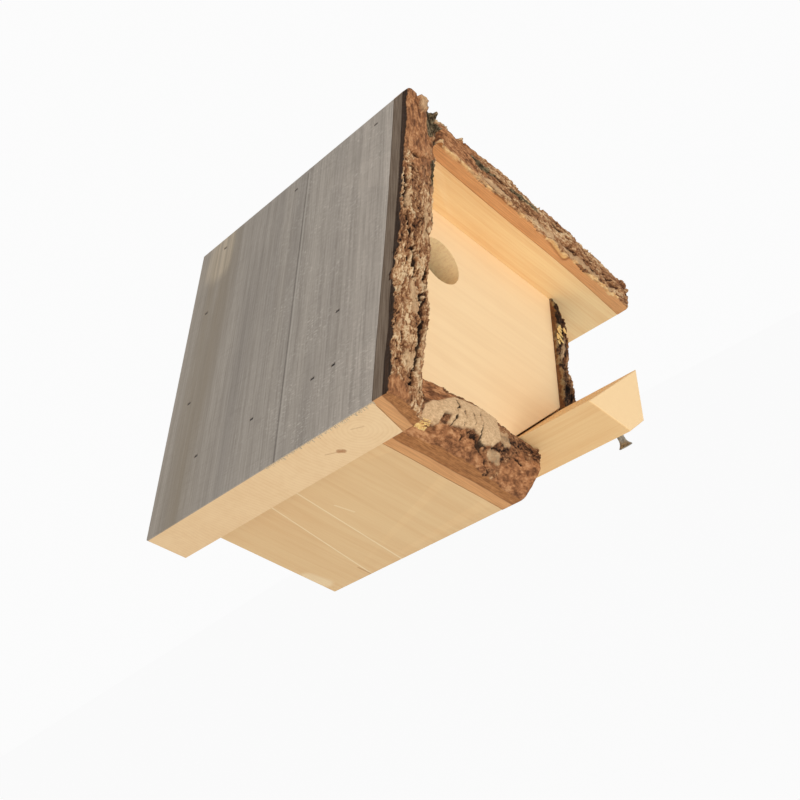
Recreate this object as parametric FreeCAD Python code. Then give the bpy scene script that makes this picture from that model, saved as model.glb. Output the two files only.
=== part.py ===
import FreeCAD, Part
import math
import os

# Driving dimensions, in millimetres
board = 26.0                 # thickness of the sawn roof, side and floor boards
inner_side = 146.0           # clear side of the square nest space
left_roof_length = 220.0     # ridge to eave down the left slope
right_roof_reach = 216.0     # ridge to eave down the right slope, edge of the left board included
side_length = 110.0          # lower side boards, from the roof board down
left_roof_depth = 182.0      # left roof board: back face to the foot of the bark, outer face
left_roof_slant = -6.0       # depth gained from the outer to the inner face, and the same below
right_roof_depth = 181.0     # right roof board: back face to the foot of the bark, outer face
right_roof_slant = 3.0
left_side_slant = 23.5
right_side_slant = 20.5
left_roof_bark = 11.0        # bark and bast on the outer face, and the same below
right_roof_bark = 11.0
left_side_bark = 17.0
right_side_bark = 10.5
left_roof_bark_lip = 14.0    # bark and bast on the inner face, and the same below
right_roof_bark_lip = 8.5
left_side_bark_lip = 6.5
right_side_bark_lip = 4.0
roof_bark_crown = 2.5        # swell of the bark at mid thickness
left_side_bark_crown = 6.0
right_side_bark_crown = 0.5
front_thickness = 20.0       # front wall
front_setback = 24.5         # front wall's face to the foot of the left roof's bark
side_setback = 21.5          # foot of the side boards' bark, outer face, to the front wall's face
back_thickness = 26.0        # back wall
entrance_diameter = 32.0     # flight hole
entrance_drop = 57.5         # top corner of the front wall to the middle of the flight hole
hang_diameter = 8.0          # hanging hole in the back wall
hang_drop = 40.0             # top corner of the back wall to the middle of the hanging hole
floor_width = 74.0           # top of the floor slide, from bevel to bevel
floor_overhang = 56.0        # floor slide in front of the front wall
floor_clearance = 0.3        # floor slide to the boards that guide and stop it
floor_headroom = 1.2         # floor slide to the bottom of the front wall
floor_round = 0.8            # softened edges of the floor slide's front end

# Fasteners
nail_width = 1.6             # finish nails, with the long side of the head along the depth
nail_thickness = 1.4
nail_head_width = 2.9
nail_head_thickness = 1.0
nail_length = 56.0
nail_point = 4.0
nail_sink = 0.5              # nail heads below the wood's face
nail_clearance = 0.1         # hole wall to nail
ridge_nail_drop = 10.0       # ridge to the ridge nails
ridge_nail_inset = 12.0      # foremost ridge nail to the foot of the bark on the shallower roof board
edge_nail_inset = 25.5       # rearmost nails of the ridge to the back face
side_nail_rear = 35.0        # rearmost nail of a side board to the back face
side_nail_gap = 15.5         # foremost nail of a side board to the next one
side_nail_cover = 9.0        # nails of a side board to its inner face
back_nail_inset = 37.0       # nails of the back wall to the corners of the nest space
front_nail_inset = 27.0      # lowest nail of the front wall to the corner of the nest space
screw_diameter = 4.0
screw_head_diameter = 8.0
screw_flare = 4.6            # height of the trumpet-shaped head
screw_rim = 0.5              # straight rim of the head
flare_hollow = 0.22          # how far the trumpet has opened at half its height
screw_point = 5.0
screw_tip_radius = 0.3
screw_length = 30.0
screw_showing = 7.5          # screw below the floor slide
screw_inset = 12.5           # screw to the front end of the floor slide
screw_clearance = 0.1
recess_length = 4.6          # cross recess in the screw's head
recess_width = 1.1
recess_depth = 1.6

# Hand-worn shape of the live edges, as offsets at even stations from the ridge outwards
left_roof_wave = (2.0, 1.5, 0.5, -1.0, -3.0, -4.5)
left_roof_bark_wave = (0.5, 0.5, 0.0, -1.0, -0.5, 0.0)
right_roof_wave = (1.0, 0.0, -0.5, -0.5, -1.5, -3.5)
right_roof_bark_wave = (1.5, 0.5, 0.5, -0.5, 0.0, 1.0)
left_side_wave = (-2.0, -1.0, 0.0, 0.5, 1.5, 2.0)
left_side_bark_wave = (0.5, 0.5, 3.0, 2.0, -0.5, -0.5)
right_side_wave = (-0.5, 0.0, 0.5, 0.5, 0.0, 0.0)
right_side_bark_wave = (-1.0, 2.0, -1.0, 1.0, 1.5, 0.0)

# Derived places: depth runs forward from the back face, slopes run down from the ridge
ROOT2 = math.sqrt(2.0)
inner_face = board + inner_side
outer_face = inner_face + board
side_end = board + side_length
front_face = left_roof_depth - front_setback
front_middle = front_face - front_thickness / 2.0
side_depth = front_face - side_setback
ridge_nail_front = min(left_roof_depth, right_roof_depth) - ridge_nail_inset
back_middle = back_thickness * 0.65
entrance_place = board + entrance_drop / ROOT2
hang_place = board + hang_drop / ROOT2
floor_side = inner_face - floor_clearance
floor_top_edge = floor_side - floor_width / ROOT2
floor_bottom_edge = floor_top_edge + board * ROOT2
floor_rear = back_thickness + floor_clearance
floor_front = front_face + floor_overhang
front_bottom_edge = floor_top_edge - floor_clearance - floor_headroom * ROOT2

DEPTH = FreeCAD.Vector(1, 0, 0)
LEFT_SLOPE = FreeCAD.Vector(0, 1, 0)
RIGHT_SLOPE = FreeCAD.Vector(0, 0, 1)
DOWN = FreeCAD.Vector(0, 1 / ROOT2, 1 / ROOT2)


def on_left_slope(depth, along, across):
    return FreeCAD.Vector(depth, along, across)


def on_right_slope(depth, along, across):
    return FreeCAD.Vector(depth, across, along)


def shifted(wave, amount):
    return [amount + offset for offset in wave]


def added(first, second):
    return [one + other for one, other in zip(first, second)]


def halfway(first, second):
    return [(one + other) / 2.0 for one, other in zip(first, second)]


# One face of a board or of its bark: a closed outline between two depth profiles
def face_outline(place, start, end, across, rear, front):
    last = len(front) - 1
    stations = [start + (end - start) * step / last for step in range(last + 1)]
    parameters = [step / last for step in range(last + 1)]

    def profile(depths):
        points = [place(depth, along, across) for depth, along in zip(depths, stations)]
        curve = Part.BSplineCurve()
        curve.interpolate(Points=points, Parameters=parameters)
        return curve.toShape()

    def side(along, near, far):
        return Part.makeLine(place(near, along, across), place(far, along, across))

    edges = [
        profile(rear),
        side(end, rear[-1], front[-1]),
        profile(front),
        side(start, rear[0], front[0]),
    ]
    return Part.Wire(Part.__sortEdges__(edges))


# A board with a live front edge, and the strip of bark that grows on it
def live_board(place, start, end, outer, inner, wood_outer, wood_inner):
    flush = [0.0] * len(wood_outer)
    faces = [
        face_outline(place, start, end, outer, flush, wood_outer),
        face_outline(place, start, end, inner, flush, wood_inner),
    ]
    return Part.makeLoft(faces, True, True)


def live_bark(place, start, end, outer, inner, wood_outer, wood_inner, bark_outer, bark_inner, crown):
    wood_middle = halfway(wood_outer, wood_inner)
    bark_middle = shifted(halfway(bark_outer, bark_inner), crown)
    middle = (outer + inner) / 2.0
    faces = [
        face_outline(place, start, end, outer, wood_outer, bark_outer),
        face_outline(place, start, end, middle, wood_middle, bark_middle),
        face_outline(place, start, end, inner, wood_inner, bark_inner),
    ]
    return Part.makeLoft(faces, True, True)


# A board and its bark, from the depths and barks at the board's two faces
def live_pair(place, span, faces, depth, slant, wave, rind, lip, crown, bark_wave):
    wood_outer = shifted(wave, depth)
    wood_inner = shifted(wave, depth + slant)
    bark_outer = added(wood_outer, shifted(bark_wave, rind))
    bark_inner = added(wood_inner, shifted(bark_wave, lip))
    wood = live_board(place, *span, *faces, wood_outer, wood_inner)
    strip = live_bark(place, *span, *faces, wood_outer, wood_inner, bark_outer, bark_inner, crown)
    return wood, strip


# A plate across the house from corner points on the two slopes
def cross_plate(corners, rear, thickness):
    points = [FreeCAD.Vector(rear, left, right) for left, right in corners]
    outline = Part.makePolygon(points + points[:1])
    return Part.Face(outline).extrude(DEPTH * thickness)


def wall_corners(bottom_edge):
    return [
        (board, board),
        (inner_face, board),
        (inner_face, bottom_edge),
        (bottom_edge, inner_face),
        (board, inner_face),
    ]


def level_hole(place, diameter, rear, thickness):
    return Part.makeCylinder(diameter / 2.0, thickness, FreeCAD.Vector(rear, place, place), DEPTH)


def front_wall_shape():
    rear = front_face - front_thickness
    plate = cross_plate(wall_corners(front_bottom_edge), rear, front_thickness)
    return plate.cut(level_hole(entrance_place, entrance_diameter, rear, front_thickness))


def back_wall_shape():
    plate = cross_plate(wall_corners(floor_bottom_edge), 0.0, back_thickness)
    return plate.cut(level_hole(hang_place, hang_diameter, 0.0, back_thickness))


# The floor slide: a board with both edges bevelled to lie in the open V of the side boards
def floor_slide_shape():
    corners = [
        (floor_side, floor_top_edge),
        (floor_side, floor_bottom_edge),
        (floor_bottom_edge, floor_side),
        (floor_top_edge, floor_side),
    ]
    bar = cross_plate(corners, floor_rear, floor_front - floor_rear)
    end_edges = [
        edge for edge in bar.Edges
        if all(abs(vertex.X - floor_front) < 0.001 for vertex in edge.Vertexes)
    ]
    return bar.makeFillet(floor_round, end_edges)


def screw_shape():
    middle = (floor_side + floor_bottom_edge) / 2.0
    seat = FreeCAD.Vector(floor_front - screw_inset, middle, middle)
    head_face = seat + DOWN * screw_showing
    tip = head_face - DOWN * screw_length
    shank_radius = screw_diameter / 2.0
    head_radius = screw_head_diameter / 2.0
    neck_height = screw_length - screw_flare
    rim_height = screw_length - screw_rim
    flare_radius = shank_radius + (head_radius - shank_radius) * flare_hollow
    flare_middle = FreeCAD.Vector(flare_radius, 0, (neck_height + rim_height) / 2.0)
    corners = [
        FreeCAD.Vector(0, 0, screw_length),
        FreeCAD.Vector(0, 0, 0),
        FreeCAD.Vector(screw_tip_radius, 0, 0),
        FreeCAD.Vector(shank_radius, 0, screw_point),
        FreeCAD.Vector(shank_radius, 0, neck_height),
        FreeCAD.Vector(head_radius, 0, rim_height),
        FreeCAD.Vector(head_radius, 0, screw_length),
    ]
    edges = [Part.makeLine(one, other) for one, other in zip(corners, corners[1:] + corners[:1])]
    edges[4] = Part.Arc(corners[4], flare_middle, corners[5]).toShape()
    half = Part.Face(Part.Wire(edges))
    screw = half.revolve(FreeCAD.Vector(0, 0, 0), FreeCAD.Vector(0, 0, 1), 360.0)
    screw.Placement = FreeCAD.Placement(tip, FreeCAD.Rotation(FreeCAD.Vector(0, 0, 1), DOWN))
    for turn in (0.0, 90.0):
        slot = Part.makeBox(recess_length, recess_width, recess_depth)
        slot.translate(FreeCAD.Vector(-recess_length / 2.0, -recess_width / 2.0, -recess_depth))
        slot.rotate(FreeCAD.Vector(0, 0, 0), FreeCAD.Vector(0, 0, 1), turn)
        slot.Placement = FreeCAD.Placement(
            head_face, FreeCAD.Rotation(FreeCAD.Vector(0, 0, 1), DOWN)
        ).multiply(slot.Placement)
        screw = screw.cut(slot)
    bore_radius = shank_radius + screw_clearance
    bore_depth = screw_length - screw_showing + screw_clearance
    bore = Part.makeCylinder(bore_radius, bore_depth, seat - DOWN * bore_depth, DOWN)
    return screw, bore


# A sunk nail and its hole, driven from a point on the outer face of a roof board
def nail_plate(entry, direction, top, spare):
    half_head = nail_head_width / 2.0 + spare
    half_shank = nail_width / 2.0 + spare
    neck = nail_sink + nail_head_thickness + spare
    tip = nail_sink + nail_length + spare
    shoulder = tip - nail_point
    outline = [
        (-half_head, top),
        (half_head, top),
        (half_head, neck),
        (half_shank, neck),
        (half_shank, shoulder),
        (0.0, tip),
        (-half_shank, shoulder),
        (-half_shank, neck),
        (-half_head, neck),
    ]
    across = direction.cross(DEPTH)
    thickness = nail_thickness + 2.0 * spare
    corner = entry - across * (thickness / 2.0)
    points = [corner + DEPTH * aside + direction * along for aside, along in outline]
    return Part.Face(Part.makePolygon(points + points[:1])).extrude(across * thickness)


def nail_shape(entry, direction):
    return nail_plate(entry, direction, nail_sink, 0.0)


def nail_hole(entry, direction):
    return nail_plate(entry, direction, 0.0, nail_clearance)


def even_places(first, last, count):
    return [first + (last - first) * step / (count - 1) for step in range(count)]


def nails_on_left(places):
    return [(FreeCAD.Vector(depth, along, 0.0), RIGHT_SLOPE) for depth, along in places]


def nails_on_right(places):
    return [(FreeCAD.Vector(depth, 0.0, along), LEFT_SLOPE) for depth, along in places]


def drilled(shape, nails):
    for entry, direction in nails:
        shape = shape.cut(nail_hole(entry, direction))
    return shape


# Boards before drilling
roof_faces = (0.0, board)
side_faces = (outer_face, inner_face)
side_span = (board, side_end)
roof_left, roof_bark_left = live_pair(
    on_left_slope, (0.0, left_roof_length), roof_faces, left_roof_depth, left_roof_slant, left_roof_wave,
    left_roof_bark, left_roof_bark_lip, roof_bark_crown, left_roof_bark_wave
)
roof_right, roof_bark_right = live_pair(
    on_right_slope, (board, right_roof_reach), roof_faces, right_roof_depth, right_roof_slant,
    right_roof_wave, right_roof_bark, right_roof_bark_lip, roof_bark_crown, right_roof_bark_wave
)
side_left, side_bark_left = live_pair(
    on_right_slope, side_span, side_faces, side_depth, left_side_slant, left_side_wave,
    left_side_bark, left_side_bark_lip, left_side_bark_crown, left_side_bark_wave
)
side_right, side_bark_right = live_pair(
    on_left_slope, side_span, side_faces, side_depth, right_side_slant, right_side_wave,
    right_side_bark, right_side_bark_lip, right_side_bark_crown, right_side_bark_wave
)
front_wall = front_wall_shape()
back_wall = back_wall_shape()
pull_screw, screw_bore = screw_shape()
floor_slide = floor_slide_shape().cut(screw_bore)

# Where the nails go
ridge_depths = even_places(edge_nail_inset, ridge_nail_front, 3)
side_depths = even_places(side_nail_rear, front_middle - side_nail_gap, 3) + [front_middle]
side_row = inner_face + side_nail_cover
back_row = (board + back_nail_inset, inner_face - back_nail_inset)
front_low = inner_face - front_nail_inset
front_high = board + inner_side / 2.0

ridge_nails = nails_on_left([(depth, ridge_nail_drop) for depth in ridge_depths])
left_side_nails = nails_on_left([(depth, side_row) for depth in side_depths])
left_back_nails = nails_on_left([(back_middle, along) for along in back_row])
left_front_nails = nails_on_left([(front_middle, front_low)])
right_side_nails = nails_on_right([(depth, side_row) for depth in side_depths])
right_back_nails = nails_on_right([(back_middle, along) for along in back_row])
right_front_nails = nails_on_right([(front_middle, front_high), (front_middle, front_low)])

left_roof_nails = ridge_nails + left_side_nails + left_back_nails + left_front_nails
right_roof_nails = right_side_nails + right_back_nails + right_front_nails

pieces = {
    "roof_board_left": drilled(roof_left, left_roof_nails),
    "roof_bark_left": roof_bark_left,
    "roof_board_right": drilled(roof_right, ridge_nails + right_roof_nails),
    "roof_bark_right": roof_bark_right,
    "side_board_left": drilled(side_left, left_side_nails),
    "side_bark_left": side_bark_left,
    "side_board_right": drilled(side_right, right_side_nails),
    "side_bark_right": side_bark_right,
    "front_wall": drilled(front_wall, left_front_nails + right_front_nails),
    "back_wall": drilled(back_wall, left_back_nails + right_back_nails),
    "floor_slide": floor_slide,
    "pull_screw": pull_screw,
}
nail_groups = {
    "ridge_nails": ridge_nails,
    "left_side_nails": left_side_nails,
    "left_back_nails": left_back_nails,
    "left_front_nail": left_front_nails,
    "right_side_nails": right_side_nails,
    "right_back_nails": right_back_nails,
    "right_front_nails": right_front_nails,
}
for name, nails in nail_groups.items():
    pieces[name] = Part.makeCompound([nail_shape(entry, direction) for entry, direction in nails])

# Stand the house upright, ridge on top and front towards -Y, with the hanging hole at the origin
upright = FreeCAD.Rotation(
    FreeCAD.Vector(0, -1, 0),
    FreeCAD.Vector(-1 / ROOT2, 0, -1 / ROOT2),
    FreeCAD.Vector(1 / ROOT2, 0, -1 / ROOT2),
    "XYZ",
)
standing = FreeCAD.Placement(upright.multVec(FreeCAD.Vector(0, -hang_place, -hang_place)), upright)

os.makedirs("parts", exist_ok=True)
for name, shape in pieces.items():
    shape.Placement = standing.multiply(shape.Placement)
    shape.exportStep("parts/" + name + ".step")
    box = shape.BoundBox
    print(name, len(shape.Solids), shape.isValid(), round(shape.Volume, 1), box)
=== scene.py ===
"""Looks of the chalet birdhouse: sawn and weathered wood, bark on the live edges, nails and a pull screw."""

import math

import bpy
import numpy as np
from mathutils import Matrix, Vector
from mathutils.bvhtree import BVHTree


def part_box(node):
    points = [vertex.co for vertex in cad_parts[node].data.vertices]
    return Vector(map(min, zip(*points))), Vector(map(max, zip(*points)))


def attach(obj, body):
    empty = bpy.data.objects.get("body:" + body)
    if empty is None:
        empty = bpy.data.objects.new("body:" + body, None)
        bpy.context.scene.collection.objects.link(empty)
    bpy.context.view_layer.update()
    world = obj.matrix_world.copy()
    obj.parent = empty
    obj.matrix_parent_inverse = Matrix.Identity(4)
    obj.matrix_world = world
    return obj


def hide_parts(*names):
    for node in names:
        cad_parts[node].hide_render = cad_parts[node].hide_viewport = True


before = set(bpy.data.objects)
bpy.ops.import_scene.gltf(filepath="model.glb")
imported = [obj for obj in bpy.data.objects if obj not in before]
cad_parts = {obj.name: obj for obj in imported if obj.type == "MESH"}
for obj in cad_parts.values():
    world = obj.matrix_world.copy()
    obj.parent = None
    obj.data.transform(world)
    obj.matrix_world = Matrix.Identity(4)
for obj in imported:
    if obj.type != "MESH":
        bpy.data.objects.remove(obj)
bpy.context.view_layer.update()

MM = 0.001
ROOT2 = math.sqrt(2)
HOUSE = "house"
RIDGE_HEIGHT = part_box("roof_board_left")[1].z

# Camera: where the photograph was taken from
CAMERA_PLACE = Vector((-0.5411, -0.4586, -0.1083))
CAMERA_LOOK = Vector((0.8327, 0.5453, 0.0965))
CAMERA_ROLL = math.radians(-29.35)
CAMERA_LENS = 47.64
CAMERA_SENSOR = 36
CAMERA_SHIFT = -0.0712

# Stage: a pale floor under the hanging house, and soft light
WHITE = (1, 1, 1, 1)
FLOOR_HEIGHT = -0.85
FLOOR_HALF = 12
FLOOR_COLOUR = (0.9, 0.9, 0.9, 1)
FLOOR_ROUGHNESS = 0.9
FLOOR_GLOW = 0.72
FLOOR_VEIL = (0.36, 0.36, 0.36, 1)
BACKGROUND = 0.97
WORLD_LIGHT = 0.66
KEY_PLACE = Vector((-1.3, -1.95, -0.37))
KEY_AIM = Vector((0, -0.12, -0.05))
KEY_SIZE = 0.9
KEY_POWER = 18

# Boards in millimetres: worn edges, and the flight hole below the front wall's top corner
EDGE_WEAR = 0.5
EDGE_SEGMENTS = 2
SHARP_EDGE = math.radians(40)
WELD_REACH = 0.01
FLIGHT_HOLE_RADIUS = 16
FLIGHT_HOLE_DROP = 57.5

# Bark meshes in millimetres: cells along the face, levels towards the front, and the rays that find the solid
BARK_CELL = 0.5
BARK_LEVEL = 0.8
FEWEST_LEVELS = 6
THINNEST_BARK = 1
RAY_INSET = 0.02
RAY_START = 400

# Slope coordinates in millimetres: down the left slope, forward, and down the right slope
LEFT_SLOPE = 0
DEPTH = 1
RIGHT_SLOPE = 2


def other_slope(axis):
    return LEFT_SLOPE + RIGHT_SLOPE - axis


def to_slope(points):
    x, y, z = np.asarray(points, float).T
    drop = RIDGE_HEIGHT - z
    return np.stack([(drop - x) / ROOT2, -y, (drop + x) / ROOT2], axis=1) / MM


def from_slope(points):
    left, depth, right = np.asarray(points, float).T * MM
    return np.stack([(right - left) / ROOT2, -depth, RIDGE_HEIGHT - (left + right) / ROOT2], axis=1)


def slope_points(node):
    return to_slope([vertex.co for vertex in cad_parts[node].data.vertices])


# Faces that marks and fibres lie on, and the middle of the flight hole
LEFT_ROOF_END = slope_points("roof_board_left")[:, LEFT_SLOPE].max()
LEFT_SIDE_FACE = slope_points("side_board_left")[:, LEFT_SLOPE].max()
RIGHT_ROOF_UNDERSIDE = slope_points("roof_board_right")[:, LEFT_SLOPE].max()
FRONT_WALL_DROP = (RIDGE_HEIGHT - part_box("front_wall")[1].z) / MM
FLIGHT_HOLE_SLOPE = (FRONT_WALL_DROP + FLIGHT_HOLE_DROP) / ROOT2
FLIGHT_HOLE_MIDDLE = (FLIGHT_HOLE_SLOPE, 0, FLIGHT_HOLE_SLOPE)


# A colour as a screen shows it, turned into the linear one that shaders use
def rgb(red, green, blue):
    def linear(part):
        share = part / 255
        return share / 12.92 if share <= 0.04045 else ((share + 0.055) / 1.055) ** 2.4

    return (linear(red), linear(green), linear(blue), 1)


# Colours of fresh wood
PALE = rgb(250, 216, 168)
HONEY = rgb(222, 176, 124)
# Lighter than PALE: partly the wood's own colour, partly painted light on the right roof board's shaded
# underside
WARM_AND_LIT = rgb(255, 224, 168)
AMBER = rgb(226, 168, 106)
CREAM = rgb(255, 224, 176)
GOLD = rgb(248, 208, 150)
SAND = rgb(238, 203, 152)
# Torn wood on the hole's wall: partly its own colour, partly painted light
TORN_AND_LIT = rgb(255, 228, 176)
LINE = rgb(255, 232, 190)
STREAK = rgb(176, 120, 76)
TORN_WOOD = (rgb(252, 228, 160), rgb(232, 190, 120))

# Colours of weathered wood, some with their share or with the span of a noise or of depth that they take
SILVER = (rgb(178, 168, 156), rgb(161, 152, 142))
BLEACHED = ((110, 180, 0, 0.75), rgb(192, 180, 167))
GREY_STREAK = ((0.4, 0.7, 0, 0.5), rgb(132, 123, 113))
GREY_FIBRE = ((0.42, 0.75, 0, 0.5), rgb(126, 117, 107))
SCRATCHED = rgb(218, 208, 195)
SAW_MARK = ((0.5, 0.75, 0, 0.25), rgb(128, 119, 110))
GREY_RING = (0.12, rgb(108, 99, 90))
REAR_BROWN = rgb(148, 134, 114)
REAR_TAN = rgb(206, 188, 162)
CRACK = rgb(92, 84, 76)
CRACK_EDGE = rgb(190, 181, 169)
HANGING_FIBRE = (rgb(236, 212, 174), rgb(172, 154, 130))

# Colours of steel
ZINC = (rgb(172, 163, 145), rgb(128, 121, 110))
DARK_STEEL = (rgb(70, 64, 58), rgb(42, 38, 35))

# Colours of bark from the wood outwards, some with their share or with the span of a noise that they take
BAST = (rgb(238, 178, 120), rgb(212, 154, 102))
OLD_BAST = (rgb(140, 122, 104), rgb(108, 90, 74))
BAST_SCAR = rgb(164, 100, 58)
BAST_TEAR = rgb(246, 204, 136)
AT_WOOD = (0.25, rgb(168, 114, 70))
OLD_AT_WOOD = (0.4, rgb(92, 74, 59))
SEAM = (0.5, rgb(134, 84, 52))
CORK = ((0.2, rgb(214, 154, 98)), (0.45, rgb(184, 125, 76)), (0.75, rgb(126, 82, 50)))
OLD_CORK = (rgb(74, 53, 38), rgb(38, 27, 19))
FLAKE_TINTS = (
    (0, rgb(38, 26, 19)),
    (0.2, rgb(88, 58, 39)),
    (0.4, rgb(136, 92, 61)),
    (0.58, rgb(168, 120, 81)),
    (0.76, rgb(200, 155, 111)),
    (1, rgb(236, 204, 160)),
)
SMOOTH_TINTS = (
    (0, rgb(208, 154, 108)),
    (0.3, rgb(184, 127, 84)),
    (0.6, rgb(154, 103, 67)),
    (1, rgb(106, 68, 44)),
)
RUST = (rgb(184, 122, 78), rgb(116, 74, 48))
ASH = (rgb(240, 204, 158), rgb(202, 164, 122))
DUSTY_ASH = ((0.5, 0.75, 0, 0.6), rgb(172, 134, 98))
MOSS = (rgb(60, 49, 34), rgb(146, 128, 96))
# Painted shade in the grooves
GROOVE_SHADE = ((0.2, 0.9, 0, 0.9), rgb(38, 27, 20))
FRINGE = (rgb(250, 214, 156), rgb(220, 166, 108))
# Painted shade
PAINTED_SHADE_TINT = rgb(30, 22, 17)

# Marks on faces square to the left slope: colour, strength, face, line as depth and slope, and half width
LEFT_ROOF_MARKS = (
    (STREAK, 0.9, LEFT_ROOF_END, (138, 16), (139.6, 17.4), 2),
    (STREAK, 0.35, LEFT_ROOF_END, (139, 17), (131, 13.5), 0.7),
    (STREAK, 0.3, LEFT_ROOF_END, (155, 8), (161, 10.5), 0.6),
)
LEFT_SIDE_MARKS = (
    (LINE, 0.75, LEFT_SIDE_FACE, (49.8, 26), (33.5, 136), 0.6),
    (LINE, 0.75, LEFT_SIDE_FACE, (70, 26), (59.5, 136), 0.6),
    (STREAK, 0.5, LEFT_SIDE_FACE, (33, 125), (33.2, 137), 0.8),
    (LINE, 0.6, LEFT_SIDE_FACE, (2, 112), (4, 124), 7),
    (LINE, 0.5, LEFT_SIDE_FACE, (74, 69), (77, 81), 0.8),
)
BAST_MARKS = (
    (BAST_SCAR, 0.8, RIGHT_ROOF_UNDERSIDE, (194.5, 122), (189, 149), 3.9),
    (BAST_TEAR, 0.95, RIGHT_ROOF_UNDERSIDE, (194, 128), (189.6, 148), 2.9),
)

# Places on a weathered face: spans of depth, and lines as depth and slope, with their half width
SCRATCHED_SPAN = (60, 130, 0.15, 0.8)
BROWN_SPAN = (62, 22)
TAN_SPAN = (37, 35)
TAN_PATCH = ((27, 8), (24, 20), 28)
WEATHER_LINES = (
    (CRACK, 0.5, (108.5, 4), (108, 220), 0.8),
    (CRACK_EDGE, 0.45, (110.1, 4), (109.6, 220), 0.9),
)

# A strip of bark in millimetres along and across it, where a zone is a middle and a half size
PLAIN_BARK = {
    "outer_last": False,  # whether the outer face lies at the far end of the strip's width
    "bare": (),  # zones of smooth bark
    "cover": (),  # zones with a pale crust
    "moss": (),  # zones of dark moss
    "calm": (),  # zones with few flakes, and how far they lack them
    "plates": (),  # outlines of raised plates
    "fissures": (),  # lines, and their half width
    "lifts": (),  # zones, and how far they stand out
    "fringe": 0,  # pale fibres at the inner rim
    # Next: painted shade, a darkening towards the inner rim
    "weather": (0, 0),  # greying of the outer face and of the upper end
    "painted_shade": 0,  # darkening towards the inner rim
    "speckle": 1,  # strength of the fine mottling
}
LEFT_ROOF_BARK = PLAIN_BARK | {
    "along": LEFT_SLOPE,
    "seed": 3,
    "flake": (10, 3.4),  # size of a flake
    "bare": (((20, 8), (44, 17)), ((219, 5), (9, 7))),
    "cover": (
        ((6, 11.4), (8, 2.8)),
        ((102, 18), (12, 2.6)),
        ((155, 13), (13, 3.2)),
        ((197, 10), (5, 4)),
        ((176, 24), (10, 2)),
        ((92, 4), (6, 2)),
    ),
    "moss": (((10, 21.6), (13, 4.4)), ((55, 24), (11, 2)), ((88, 25.5), (8, 1.4))),
    "calm": (((66, 15), (22, 12), 0.75),),
    "fissures": (
        (((53, 4), (54, 9), (49, 17)), 0.9),
        (((66, 4), (67, 11)), 0.8),
        (((74, 2), (90, 2.2), (104, 3), (114, 7), (121, 10.5), (144, 11.5)), 1.6),
        (((128, 23), (148, 20), (165, 18.2), (188, 17), (209, 12.5)), 1.9),
        (((101, 21), (101, 27)), 1.4),
        (((203, 19), (209, 20.5)), 1.6),
        (((44, 22), (66, 23)), 1.4),
    ),
    "fissure_depth": 3,
    "lifts": (
        ((0, 0), (9, 7), 1.6),
        ((3, 11.4), (11, 3), 2.8),
        ((12, 20), (18, 3.4), -1.5),
        ((1.5, 24.7), (4.5, 1.1), 3),
    ),
    "rounds": (0.6, 2, 0.3, 1.5),  # outer, inner, upper and lower rim
    "crumble": 0.5,
    "bast": (7, 7),  # thickness at the upper and the lower end
    "bast_sway": 0.4,
    "weather": (1, 0),
    "tone_shift": 0.14,
    # Next: strength of the painted shade in hollows and of the painted highlight on crests
    "hollow_shade_crest_highlight": 0.34,  # how much hollows darken and crests brighten
}
RIGHT_ROOF_BARK = PLAIN_BARK | {
    "along": RIGHT_SLOPE,
    "seed": 11,
    "flake": (13, 3),
    "bare": (((40, 13), (24, 15)),),
    "cover": (
        ((80, 22), (12, 1.8)),
        ((122, 22), (14, 2.4)),
        ((164, 22), (20, 2.4)),
        ((200, 21), (9, 2)),
    ),
    "moss": (((26, 9), (2.4, 6)), ((66, 14), (12, 1.6)), ((104, 13), (14, 1.8))),
    "calm": (
        ((60, 13), (40, 16), 0.6),
        ((160, 13), (70, 16), 0.3),
        ((212, 13), (14, 22), 0.85),
    ),
    "fissures": (
        (((60, 15), (90, 13), (112, 17)), 1.4),
        (((130, 9), (170, 13), (204, 12)), 1.4),
    ),
    "fissure_depth": 2.6,
    "lifts": (
        ((36, 2), (15, 9), -2.2),
        ((112, 2), (16, 8), -2),
        ((194, 4), (23, 17), -2.6),
    ),
    "rounds": (1.2, 0.8, 4, 2.4),
    "crumble": 0.3,
    "bast": (8.4, 11),
    "bast_sway": 1,
    "fringe": 1,
    "weather": (1, 0.9),
    "tone_shift": 0.22,
    "hollow_shade_crest_highlight": 0.24,
    "speckle": 0.85,
}
LEFT_SIDE_PLATE = (
    (47.8, 11), (50, 5.5), (58, 4.8), (60.4, 6.5), (60.4, 11.6), (64.9, 11.6), (64.9, 7.5), (68.5, 8.4),
    (75.4, 9.4), (80.3, 10.5), (86.2, 9.7), (90.7, 7.9), (98, 9.6), (101, 14), (96.4, 25.5), (82.6, 24.6),
    (65, 22.2),
)
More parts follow.
